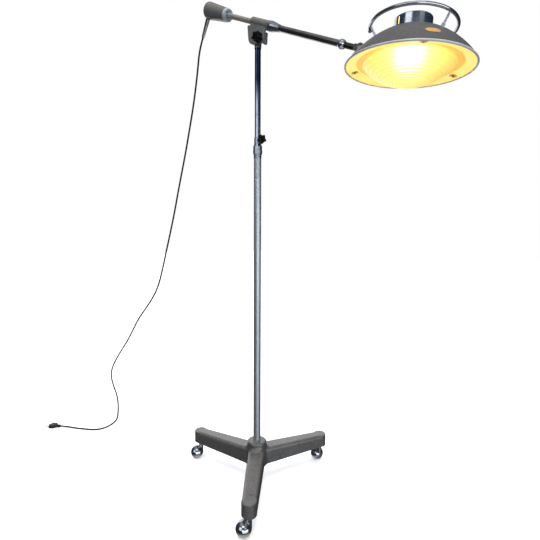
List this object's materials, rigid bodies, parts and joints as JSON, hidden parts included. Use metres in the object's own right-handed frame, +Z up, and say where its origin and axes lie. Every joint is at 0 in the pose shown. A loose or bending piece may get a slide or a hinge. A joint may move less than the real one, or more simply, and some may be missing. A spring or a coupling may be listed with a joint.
{
  "type": "examination floor lamp",
  "caption": "Wheeled medical floor lamp: legged base on ball casters, telescopic column, counterweighted tilting arm, domed head with ring handle and ribbed glass lens.",
  "frame": {"origin": "on the floor, on the column's axis", "axes": "+Z up along the column, +X the way the arm reaches out to the head, seen from above"},
  "size_m": [1.6487, 0.5809, 1.6862],
  "materials": {
    "base_paint": "grey hammertone enamel on cast iron",
    "weight_paint": "grey hammertone enamel on cast iron",
    "tube_paint": "grey hammertone enamel",
    "hammertone": "grey hammertone enamel",
    "shade_paint": "grey hammertone enamel on spun sheet",
    "rim_paint": "pale blue-grey paint",
    "ring_cream": "cream enamel",
    "chrome": "polished plating, slightly worn",
    "dark_chrome": "tarnished plating",
    "bare_steel": "turned and unpainted",
    "steel": "plain zinc-plated",
    "nylon": "natural nylon",
    "knob_black": "black phenolic",
    "wheel_plastic": "grey moulded hub",
    "tyre_grey": "grey rubber tread",
    "lens_glass": "ribbed pressed glass",
    "bulb_glass": "frosted",
    "clip_brass": "tarnished spring brass",
    "badge_brass": "plain oval plate",
    "pin_brass": "nickelled brass",
    "reflector": "spun and polished",
    "holder": "white moulded holder",
    "relief_rubber": "light grey moulded rubber",
    "cord_rubber": "black sheath",
    "plug_plastic": "black moulded plug"
  },
  "bodies": {
    "base": {"base_casting": "base_paint", "hub_nut": "steel", "outer_tube": "tube_paint", "tube_ferrule": "chrome", "tube_collar": "chrome", "guide_bush": "nylon"},
    "height_clamp": {"height_knob": "knob_black", "height_screw": "steel"},
    "mast": {"inner_tube": "chrome", "mast_plug": "nylon"},
    "pivot": {"pivot_eye": "hammertone", "mains_cord": "cord_rubber", "plug_body": "plug_plastic", "plug_pins": "pin_brass"},
    "arm": {"arm_clamp": "hammertone", "set_screws": "steel", "pivot_bolt": "steel", "pivot_nut": "steel", "rear_rod": "chrome", "counterweight": "weight_paint", "counterweight_ring": "bare_steel", "counterweight_screw": "steel", "strain_relief": "relief_rubber"},
    "tilt_clamp": {"tilt_knob": "knob_black"},
    "coupling": {"coupling_nut": "chrome"},
    "front_arm": {"front_tube": "dark_chrome", "ball_ferrule": "chrome", "end_fork": "dark_chrome", "fork_pin": "steel", "fork_nut": "steel"},
    "head": {"head_bracket": "hammertone", "bracket_screws": "steel", "shade": "shade_paint", "rim_ring": "rim_paint", "lens_ring": "ring_cream", "lens": "lens_glass", "lens_clips": "clip_brass", "clip_screws": "steel", "reflector": "reflector", "lampholder": "holder", "bulb": "bulb_glass", "vent_cap": "chrome", "handle_ring": "chrome", "handle_posts": "chrome", "badge_plate": "badge_brass"},
    "caster_1": {"caster_stem_1": "chrome", "caster_hood_1": "chrome", "caster_axle_1": "steel"},
    "wheel_1": {"caster_wheel_1": "wheel_plastic", "caster_tyre_1": "tyre_grey"},
    "caster_2": {"caster_stem_2": "chrome", "caster_hood_2": "chrome", "caster_axle_2": "steel"},
    "wheel_2": {"caster_wheel_2": "wheel_plastic", "caster_tyre_2": "tyre_grey"},
    "caster_3": {"caster_stem_3": "chrome", "caster_hood_3": "chrome", "caster_axle_3": "steel"},
    "wheel_3": {"caster_wheel_3": "wheel_plastic", "caster_tyre_3": "tyre_grey"}
  },
  "joints": [
    {"name": "caster_swivel_1", "type": "hinge", "parent": "base", "child": "caster_1", "pos_m": [0.15429, -0.21791, 0.08], "axis": [0, 0, 1], "continuous": true},
    {"name": "wheel_spin_1", "type": "hinge", "parent": "caster_1", "child": "wheel_1", "pos_m": [0.14259, -0.22882, 0.024], "axis": [-0.4384, 0.4701, -0.766], "continuous": true},
    {"name": "caster_swivel_2", "type": "hinge", "parent": "base", "child": "caster_2", "pos_m": [0.11157, 0.24257, 0.08], "axis": [0, 0, 1], "continuous": true},
    {"name": "wheel_spin_2", "type": "hinge", "parent": "caster_2", "child": "wheel_2", "pos_m": [0.09707, 0.24933, 0.024], "axis": [0.2717, 0.5826, -0.766], "continuous": true},
    {"name": "caster_swivel_3", "type": "hinge", "parent": "base", "child": "caster_3", "pos_m": [-0.26586, -0.02466, 0.08], "axis": [0, 0, 1], "continuous": true},
    {"name": "wheel_spin_3", "type": "hinge", "parent": "caster_3", "child": "wheel_3", "pos_m": [-0.27262, -0.03916, 0.024], "axis": [-0.5826, 0.2717, -0.766], "continuous": true},
    {"name": "height_knob_turn", "type": "hinge", "parent": "base", "child": "height_clamp", "pos_m": [0, 0, 1.181], "axis": [0.9397, -0.342, 0], "range_deg": [0, 360]},
    {"name": "mast_slide", "type": "slide", "parent": "base", "child": "mast", "axis": [0, 0, 1], "range_m": [-0.26, 0.28]},
    {"name": "mast_swivel", "type": "hinge", "parent": "mast", "child": "pivot", "pos_m": [0, 0, 1.47], "axis": [0, 0, 1], "range_deg": [-170, 170]},
    {"name": "arm_tilt", "type": "hinge", "parent": "pivot", "child": "arm", "pos_m": [0.00003, 0, 1.50503], "axis": [0, 1, 0], "range_deg": [-60, 20], "deforming": ["mains_cord"]},
    {"name": "tilt_knob_turn", "type": "hinge", "parent": "arm", "child": "tilt_clamp", "pos_m": [0.02399, -0.0184, 1.48895], "axis": [0, -1, 0], "range_deg": [0, 360]},
    {"name": "coupling_nut_turn", "type": "hinge", "parent": "arm", "child": "coupling", "pos_m": [0.07172, 0, 1.51555], "axis": [0.8965, 0, -0.4431], "range_deg": [0, 360]},
    {"name": "front_arm_roll", "type": "hinge", "parent": "arm", "child": "front_arm", "pos_m": [0.07172, 0, 1.51555], "axis": [0.8965, 0, -0.4431], "range_deg": [-120, 120]},
    {"name": "head_tilt", "type": "hinge", "parent": "front_arm", "child": "head", "pos_m": [0.36308, 0, 1.37156], "axis": [0, 1, 0], "range_deg": [-90, 45]}
  ]
}
